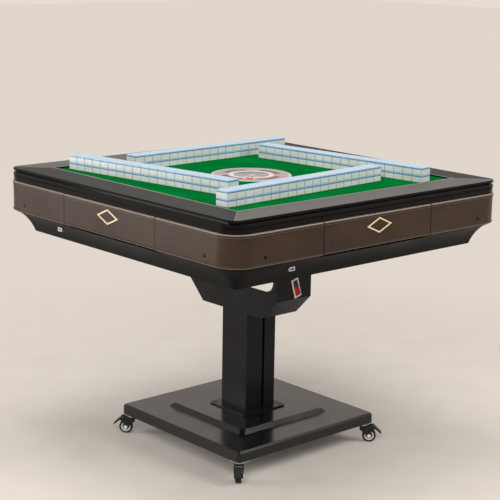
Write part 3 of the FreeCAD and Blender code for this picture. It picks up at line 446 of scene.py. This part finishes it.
# Top frame: four rails, brushed grey on top and gloss black along the stepped edge, mitred at the
# corners and seated on the posts. A bright strip runs round the felt, and a thin one closes each mitre.
frame_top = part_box("frame_rail_front")[1][2]
brushed_from = frame_top - 0.0008
brushed_full = frame_top - 0.0005
edge_roughness = 0.12
brushed_roughness = 0.5
edging_half = 0.3845
edging_width = 0.0030
edging_height = 0.0006
mitre_middle = 0.4215
mitre_length = 0.106
mitre_width = 0.0012
mitre_height = 0.0004
mitre_round = 0.0001
# Painted light: the brushed grey is one finish, painted lighter on the front and back rails as painted
# sheen and darker on the side rails as painted shade. The grain runs along each rail.
for name, lit_grey_low, lit_grey_high, grain_scale, rails in (
        ("rail_grey_painted_sheen", tone(72, 70, 69), tone(94, 92, 90), (5, 700, 700), ("front", "back")),
        ("rail_grey_painted_shade", tone(18, 18, 17), tone(34, 33, 32), (700, 5, 700), ("right", "left"))):
    rail_finish = finish(name, tone(4, 4, 4), tone(8, 8, 8), 1500, 0.14, 0.00002, specular=0.14)
    tree = rail_finish.node_tree
    place = tree.nodes.new("ShaderNodeTexCoord")
    along = tree.nodes.new("ShaderNodeMapping")
    along.inputs["Scale"].default_value = grain_scale
    streaks = tree.nodes.new("ShaderNodeTexNoise")
    streaks.inputs["Scale"].default_value = 1
    tree.links.new(place.outputs["Object"], along.inputs["Vector"])
    tree.links.new(along.outputs["Vector"], streaks.inputs["Vector"])
    top = stretch(tree, level(tree), brushed_from, brushed_full)
    recolour(rail_finish, top, lay(tree, streaks.outputs["Fac"], lit_grey_low, lit_grey_high))
    rough = stretch(tree, top, 0.0, 1.0, edge_roughness, brushed_roughness)
    tree.links.new(rough, tree.nodes["Principled BSDF"].inputs["Roughness"])
    for side in rails:
        dress(rail_finish, "frame_rail_" + side)
bright_strip = finish("bright_strip", tone(120, 118, 115), tone(150, 148, 145), 300, 0.35, 0.00002,
                      metallic=0.2)
bpy.ops.mesh.primitive_plane_add(size=2 * edging_half, location=(0, 0, frame_top))
edging = edit_whole()
edging.name = "felt_edging"
leave_band(edging_width, (0, 0, edging_height))
edging.data.materials.append(bright_strip)
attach(edging, "table")
bpy.ops.object.select_all(action="DESELECT")
bpy.ops.mesh.primitive_plane_add(size=1, location=(-mitre_middle, -mitre_middle, frame_top),
                                 rotation=(0, 0, math.radians(45)))
bpy.context.object.scale = (mitre_length, mitre_width, 1)
mitre = edit_whole()
bpy.ops.mesh.extrude_region_move(TRANSFORM_OT_translate={"value": (0, 0, mitre_height)})
bpy.ops.mesh.select_all(action="SELECT")
bpy.ops.mesh.bevel(offset=mitre_round, segments=1, affect="EDGES")
bpy.ops.mesh.normals_make_consistent(inside=False)
bpy.ops.object.mode_set(mode="OBJECT")
mitre.data.materials.append(bright_strip)
for copy in turned_copies(mitre, "mitre_strip"):
    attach(copy, "table")
bpy.ops.object.select_all(action="DESELECT")

# Board and felt: a fibreboard panel rests on the rails' ledge, and green short-pile cloth is glued over
# it. Both are cut through for the four lifts and the centre panel.
felt_low, felt_high = (Vector(end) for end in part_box("felt_cloth"))
lift_low, lift_high = (Vector(end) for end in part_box("lift_platform_front"))
panel_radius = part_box("control_panel")[1][0]
opening_gap = 0.001
cutter_height = 0.01
felt_roughness = 0.95
felt_level = (felt_low.z + felt_high.z) / 2
lift_place = Vector(((lift_low.x + lift_high.x) / 2, (lift_low.y + lift_high.y) / 2, felt_level))
lift_opening = (lift_high.x - lift_low.x + 2 * opening_gap, lift_high.y - lift_low.y + 2 * opening_gap)
fibreboard = finish("fibreboard", tone(140, 108, 74), tone(170, 136, 98), 700, 0.75, 0.0002)
dress(fibreboard, "playing_board")
felt = finish("green_felt", tone(0, 88, 34), tone(2, 110, 45), 2600, felt_roughness, 0.0004, specular=0.0)
bpy.ops.mesh.primitive_cube_add(size=1, location=(0, 0, felt_level))
cloth = bpy.context.object
cloth.name = "felt_sheet"
cloth.scale = felt_high - felt_low
bpy.ops.object.transform_apply(location=True, rotation=True, scale=True)
cutters = []
bpy.ops.mesh.primitive_cylinder_add(vertices=128, radius=panel_radius + opening_gap, depth=cutter_height,
                                    location=(0, 0, felt_level))
cutters.append(bpy.context.object)
for turn in range(4):
    ahead = Matrix.Rotation(math.radians(90 * turn), 4, "Z") @ lift_place
    bpy.ops.mesh.primitive_cube_add(size=1, location=ahead, rotation=(0, 0, math.radians(90 * turn)))
    bpy.context.object.scale = (*lift_opening, cutter_height)
    cutters.append(bpy.context.object)
for cutter in cutters:
    opening = cloth.modifiers.new("opening", "BOOLEAN")
    opening.object = cutter
    bpy.context.view_layer.objects.active = cloth
    bpy.ops.object.modifier_apply(modifier=opening.name)
    bpy.data.objects.remove(cutter)
cloth.data.materials.clear()
cloth.data.materials.append(felt)
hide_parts("felt_cloth")
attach(cloth, "table")
bpy.ops.object.select_all(action="DESELECT")

# Lifts: aluminium plates faced with the same felt, flush with the top, each running on two rods. They
# have raised the tile walls and stay level with the cloth.
facing_blur = 0.0002
alloy_metallic = 0.85
alloy_roughness = 0.38
lift_alloy = finish("lift_alloy", tone(168, 170, 173), tone(198, 200, 202), 500, 0.4, 0.00004, specular=0.0)
tree = lift_alloy.node_tree
height = level(tree)
faced = stretch(tree, height, felt_low.z, felt_low.z + facing_blur)
bare = stretch(tree, height, felt_low.z, felt_low.z + facing_blur, alloy_metallic, 0.0)
pile = stretch(tree, faced, 0.0, 1.0, alloy_roughness, felt_roughness)
recolour(lift_alloy, faced, tone(1, 99, 40))
tree.links.new(bare, tree.nodes["Principled BSDF"].inputs["Metallic"])
tree.links.new(pile, tree.nodes["Principled BSDF"].inputs["Roughness"])
for side in sides:
    dress(lift_alloy, "lift_platform_" + side)

# Tiles: melamine blocks lying face down in two layers, ivory below and pale blue on the back, with a
# darker blue line where the two colours are pressed together. The walls lie loose on the cloth, each
# pushed in a little at a slant of its own.
tile_size = Vector((0.030, 0.040, 0.020))
tile_round = 0.0009
tile_seam_level = 0.0040
tile_gap = 0.0003
stacks = 19
layers = 2
field_half = 0.382
layer_offset = 0.00001
walls = {"front": (0.0605, 4.2), "right": (0.0660, 6.6), "back": (0.0860, 2.0), "left": (0.0370, 8.3)}
tile = edit_block(tile_size, (0, 0, 0))
bpy.ops.mesh.bevel(offset=tile_round, segments=1, affect="EDGES")
bpy.ops.mesh.select_all(action="SELECT")
bpy.ops.mesh.bisect(plane_co=(0, 0, tile_seam_level), plane_no=(0, 0, 1))
bpy.ops.mesh.select_all(action="SELECT")
bpy.ops.transform.translate(value=tile_size / 2 + Vector((0, 0, felt_high.z)))
bpy.ops.object.mode_set(mode="OBJECT")
for count, step in ((stacks, (tile_size.x + tile_gap, 0, 0)), (layers, (0, 0, tile_size.z))):
    row = tile.modifiers.new("row", "ARRAY")
    row.use_relative_offset = False
    row.use_constant_offset = True
    row.count = count
    row.constant_offset_displace = step
    bpy.ops.object.modifier_apply(modifier=row.name)
melamine = finish("melamine", tone(204, 206, 200), tone(215, 217, 211), 120, 0.22, 0.00003)
# Painted shade: the slanted upright bevels between neighbouring tiles take a darker grey-blue, standing in
# for the shade in the narrow gaps.
tile_bevel_shade = finish("tile_bevel_shade", tone(140, 152, 158), tone(158, 168, 172), 300, 0.5, 0.00003)
tree = melamine.node_tree
above_felt = sums(tree, "SUBTRACT", level(tree), felt_high.z + layer_offset)
within_layer = sums(tree, "MODULO", above_felt, tile_size.z)
share = sums(tree, "MULTIPLY", within_layer, 1 / tile_size.z)
recolour(melamine, bands(tree, share, ((0.70, 0), (0.73, 1))), tone(160, 186, 206))
recolour(melamine, bands(tree, share, ((0.68, 0), (0.71, 1), (0.82, 1), (0.86, 0))), tone(74, 128, 178))
tile.data.materials.append(melamine)
tile.data.materials.append(tile_bevel_shade)
# The painted shade goes on the slanted upright bevel faces only.
for face in tile.data.polygons:
    upright = abs(face.normal.z) < 0.3
    slanting = 0.3 < abs(face.normal.x) < 0.95
    face.material_index = 1 if upright and slanting else 0
for turn, side in enumerate(sides):
    margin, slant = walls[side]
    wall = tile.copy()
    wall.data = tile.data.copy()
    wall.name = "tiles_" + side
    bpy.context.scene.collection.objects.link(wall)
    wall.data.transform(Matrix.Rotation(math.radians(slant), 4, "Z"))
    wall.data.transform(Matrix.Translation((lift_low.x, margin - field_half, 0)))
    wall.data.transform(Matrix.Rotation(math.radians(90 * turn), 4, "Z"))
    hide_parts("tile_wall_" + side)
    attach(wall, "wall_" + side)
bpy.data.objects.remove(tile)
bpy.ops.object.select_all(action="DESELECT")

# Centre panel: a round satin moulding flush with the felt, with four dark windows set in a ring. It
# rises on the drum's post, and the red start button sits in it on a spring.
panel_windows = 4
panel_tint = 0.35
panel_hub = tone(226, 213, 212)
panel_field = tone(172, 152, 154)
panel_rim = tone(206, 196, 190)
panel_satin = finish("panel_satin", tone(160, 144, 144), tone(178, 162, 161), 600, 0.4, 0.00005)
tree = panel_satin.node_tree
place = tree.nodes.new("ShaderNodeTexCoord")
across = stretch(tree, reach(tree, place.outputs["Object"], (1, 1, 0)), 0.0, panel_radius)
zones = bands(tree, across, ((0.55, panel_hub), (0.565, panel_field), (0.925, panel_field),
                             (0.94, panel_rim), (0.99, panel_rim)))
base = tree.nodes["Principled BSDF"].inputs["Base Color"]
ringed = lay(tree, panel_tint, zones, base.links[0].from_socket)
ringed.node.blend_type = "MULTIPLY"
tree.links.new(ringed, base)
angle = tree.nodes.new("ShaderNodeTexGradient")
angle.gradient_type = "RADIAL"
tree.links.new(place.outputs["Object"], angle.inputs["Vector"])
part = sums(tree, "FRACT", sums(tree, "MULTIPLY", angle.outputs["Fac"], panel_windows))
band = bands(tree, across, ((0.60, 0), (0.61, 1), (0.74, 1), (0.75, 0)))
ends = bands(tree, part, ((0.33, 1), (0.345, 0), (0.655, 0), (0.67, 1)))
recolour(panel_satin, sums(tree, "MULTIPLY", band, ends), tone(62, 54, 57))
button_red = finish("button_red", tone(188, 34, 32), tone(212, 50, 46), 300, 0.3, 0.00003)
dress(panel_satin, "control_panel")
dress(button_red, "start_button")

# Dice bowl: a cream dish under a clear moulded cap, with two loose dice in it. The cap stands in the
# recess of the panel.
dish_radius = 0.0455
dish_height = 0.0032
dish_clearance = 0.0001
dish_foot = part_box("panel_lens")[0][2] + dish_clearance
dish_rim = 0.0016
dish_steps = ((0.0050, 0.0012), (0.0080, 0.0004))
dish_floor = dish_foot + dish_height - sum(drop for width, drop in dish_steps)
die_size = 0.012
die_round = 0.0014
die_level = dish_floor + die_size / 2
pip_pitch = 0.0030
pip_level = 0.0059
pip_depth = 0.0004
pip_radius = 0.0011
single_pip_radius = 0.0021
clear = finish("clear_cap", tone(236, 239, 239), tone(246, 248, 248), 60, 0.09, 0.0)
clear.node_tree.nodes["Principled BSDF"].inputs["Transmission Weight"].default_value = 1.0
dress(clear, "panel_lens")
dish_cream = finish("dish_cream", tone(222, 212, 192), tone(234, 226, 208), 400, 0.45, 0.00004)
bpy.ops.mesh.primitive_cylinder_add(vertices=64, radius=dish_radius, depth=dish_height,
                                    location=(0, 0, dish_foot + dish_height / 2))
dish = edit_whole()
dish.name = "dice_dish"
pick_faces(dish, (0, 0, 1))
bpy.ops.mesh.inset(thickness=dish_rim)
for width, drop in dish_steps:
    bpy.ops.mesh.inset(thickness=width, depth=-drop)
bpy.ops.object.mode_set(mode="OBJECT")
bpy.ops.object.shade_smooth_by_angle(angle=math.radians(30))
dish.data.materials.append(dish_cream)
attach(dish, "centre_panel")
bpy.ops.object.select_all(action="DESELECT")
die_white = finish("die_white", tone(226, 225, 220), tone(238, 237, 232), 200, 0.25, 0.00002)
pip_red = finish("pip_red", tone(186, 24, 22), tone(206, 34, 30), 200, 0.3, 0.00002)
pip_black = finish("pip_black", tone(18, 18, 18), tone(30, 30, 30), 200, 0.3, 0.00002)
spots = {1: [(0, 0)], 2: [(1, 1), (-1, -1)], 4: [(1, 1), (1, -1), (-1, 1), (-1, -1)]}
spots[3] = spots[2] + spots[1]
spots[5] = spots[4] + spots[1]
spots[6] = spots[4] + [(1, 0), (-1, 0)]
tips = ((0, 0), (180, 0), (90, 0), (-90, 0), (0, 90), (0, -90))
for name, middle, spin, numbers in (("die_left", (-0.013, -0.004, die_level), 24, (1, 6, 2, 5, 3, 4)),
                                    ("die_right", (0.012, 0.009, die_level), -37, (4, 3, 1, 6, 2, 5))):
    bpy.ops.mesh.primitive_cube_add(size=die_size, location=(0, 0, 0))
    die = edit_whole()
    die.name = name
    bpy.ops.mesh.bevel(offset=die_round, segments=2, affect="EDGES")
    bpy.ops.object.mode_set(mode="OBJECT")
    pips = []
    for number, (tip_x, tip_y) in zip(numbers, tips):
        turn = Euler((math.radians(tip_x), math.radians(tip_y), 0)).to_matrix()
        for right, ahead in spots[number]:
            spot = turn @ Vector((pip_pitch * right, pip_pitch * ahead, pip_level))
            radius = single_pip_radius if number == 1 else pip_radius
            bpy.ops.mesh.primitive_cylinder_add(vertices=10, radius=radius, depth=pip_depth,
                                                location=spot, rotation=turn.to_euler())
            pip = bpy.context.object
            for face in pip.data.polygons:
                face.material_index = 1 if number in (1, 4) else 2
            pips.append(pip)
    bpy.ops.object.select_all(action="DESELECT")
    for piece in pips + [die]:
        for finish_used in (die_white, pip_red, pip_black):
            piece.data.materials.append(finish_used)
        piece.select_set(True)
    bpy.context.view_layer.objects.active = die
    bpy.ops.object.join()
    die.rotation_euler = (0, 0, math.radians(spin))
    die.location = middle
    bpy.ops.object.transform_apply(location=True, rotation=True, scale=True)
    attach(die, "centre_panel")
    bpy.ops.object.select_all(action="DESELECT")

# Floor and light: a plain pale floor, a large soft lamp up on the left, a low window lamp behind it,
# weaker ones above and on the right, and an even sky.
floor_size = 40
shadow_reach = (0.5, 2.0)
backdrop_share = (0.05, 0.95)
lamp_aim = Vector((0, 0, 0.6))
lamps = (("key", (-2.7, -2.0, 2.7), 2.0, 80),
         ("window", (-3.0, 2.4, 1.0), 1.5, 66),
         ("top", (-0.2, 0.2, 3.2), 1.6, 45),
         ("right", (1.8, -2.6, 2.6), 1.6, 60))


def in_view(tree):
    """1 where the camera looks straight at it, in a reflection or through glass, else 0."""
    ray = tree.nodes.new("ShaderNodeLightPath")
    direct = sums(tree, "MAXIMUM", ray.outputs["Is Camera Ray"], ray.outputs["Is Glossy Ray"])
    return sums(tree, "MAXIMUM", direct, ray.outputs["Is Transmission Ray"])


def show_instead(tree, share, lit, shown, output):
    """Show a plain shader in place of the lit one, as far as the share says."""
    both = tree.nodes.new("ShaderNodeMixShader")
    tree.links.new(share, both.inputs[0])
    tree.links.new(lit.outputs[0], both.inputs[1])
    tree.links.new(shown.outputs[0], both.inputs[2])
    tree.links.new(both.outputs[0], output.inputs["Surface"])


bpy.ops.mesh.primitive_plane_add(size=floor_size, location=(0, 0, 0))
floor = bpy.context.object
floor.name = "floor"
paving = finish("pale_floor", tone(212, 203, 193), tone(220, 211, 201), 6, 0.7, 0.0)
tree = paving.node_tree
place = tree.nodes.new("ShaderNodeTexCoord")
far = reach(tree, place.outputs["Object"], (1, 1, 0))
fade = stretch(tree, far, *shadow_reach, *backdrop_share)
plain = tree.nodes.new("ShaderNodeEmission")
plain.inputs["Color"].default_value = tone(227, 217, 207)
show_instead(tree, sums(tree, "MULTIPLY", fade, in_view(tree)), tree.nodes["Principled BSDF"], plain,
             tree.nodes["Material Output"])
floor.data.materials.append(paving)
world = bpy.data.worlds.new("studio")
bpy.context.scene.world = world
world.use_nodes = True
tree = world.node_tree
sky = tree.nodes["Background"]
sky.inputs["Color"].default_value = (1.0, 0.985, 0.965, 1)
sky.inputs["Strength"].default_value = 0.30
paper = tree.nodes.new("ShaderNodeBackground")
paper.inputs["Color"].default_value = tone(230, 220, 210)
show_instead(tree, in_view(tree), sky, paper, tree.nodes["World Output"])
for name, spot, size, power in lamps:
    lamp = bpy.data.lights.new(name, "AREA")
    lamp.size = size
    lamp.energy = power
    holder = bpy.data.objects.new(name, lamp)
    holder.location = spot
    holder.rotation_euler = (lamp_aim - Vector(spot)).to_track_quat("-Z", "Y").to_euler()
    bpy.context.scene.collection.objects.link(holder)
bpy.context.scene.view_settings.view_transform = "Standard"

# Camera: at the photograph's angle, a little above the top and off the front left corner, with a long
# lens. It looks down slightly and leans by a degree.
camera_yaw = math.radians(41.76)
camera_dip = math.radians(12.73)
camera_lean = math.radians(0.98)
camera_distance = 3.758
camera_height = 1.389
lens = bpy.data.cameras.new("camera")
lens.lens = 101.2
lens.sensor_width = 36
camera = bpy.data.objects.new("camera", lens)
camera.location = (-camera_distance * math.sin(camera_yaw), -camera_distance * math.cos(camera_yaw),
                   camera_height)
aim = Euler((math.radians(90) - camera_dip, 0, -camera_yaw)).to_matrix()
camera.rotation_euler = (aim @ Matrix.Rotation(camera_lean, 3, "Z")).to_euler()
bpy.context.scene.collection.objects.link(camera)
bpy.context.scene.camera = camera
